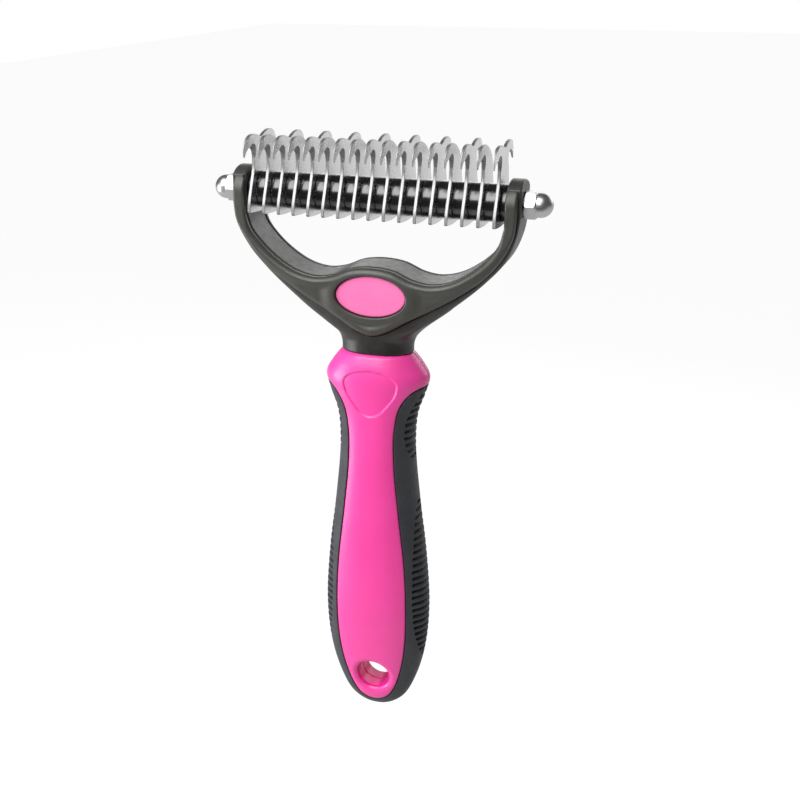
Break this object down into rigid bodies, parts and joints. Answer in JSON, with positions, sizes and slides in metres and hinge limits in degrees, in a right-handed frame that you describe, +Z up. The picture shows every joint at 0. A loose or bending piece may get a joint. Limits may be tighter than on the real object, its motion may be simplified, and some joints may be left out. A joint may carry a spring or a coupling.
{
  "type": "undercoat rake",
  "caption": "Undercoat rake: a two-colour grip with a hanging hole carries a forked yoke, whose tie rod clamps a row of hooked steel blades and spacers under cap nuts.",
  "frame": {"origin": "centre of the hanging hole, on the rake's middle plane", "axes": "+Z up the handle to the teeth, -Y the front face, X along the tie rod"},
  "size_m": [0.095, 0.0228, 0.1754],
  "materials": {
    "shell": "satin moulded plastic, hot pink",
    "grip": "soft matt rubber, dark slate grey",
    "yoke": "satin moulded plastic, dark olive grey",
    "badge": "smooth plastic insert, light pink",
    "spacer": "glossy black sleeve",
    "steel": "stamped and polished stainless steel",
    "chrome": "bright plated steel"
  },
  "bodies": {
    "root": {"handle_front_shell": "shell", "handle_back_shell": "shell", "grip_band": "grip", "yoke_core": "yoke", "yoke_front_plate": "yoke", "yoke_back_plate": "yoke", "badge_front": "badge", "badge_back": "badge", "tie_rod": "steel", "dome_nut_left": "chrome", "dome_nut_right": "chrome", "blade_01": "steel", "blade_02": "steel", "blade_03": "steel", "blade_04": "steel", "blade_05": "steel", "blade_06": "steel", "blade_07": "steel", "blade_08": "steel", "blade_09": "steel", "blade_10": "steel", "blade_11": "steel", "blade_12": "steel", "blade_13": "steel", "blade_14": "steel", "blade_15": "steel", "blade_16": "steel", "blade_17": "steel", "spacer_01": "spacer", "spacer_02": "spacer", "spacer_03": "spacer", "spacer_04": "spacer", "spacer_05": "spacer", "spacer_06": "spacer", "spacer_07": "spacer", "spacer_08": "spacer", "spacer_09": "spacer", "spacer_10": "spacer", "spacer_11": "spacer", "spacer_12": "spacer", "spacer_13": "spacer", "spacer_14": "spacer", "spacer_15": "spacer", "spacer_16": "spacer", "spacer_17": "spacer", "spacer_18": "spacer"}
  },
  "joints": []
}
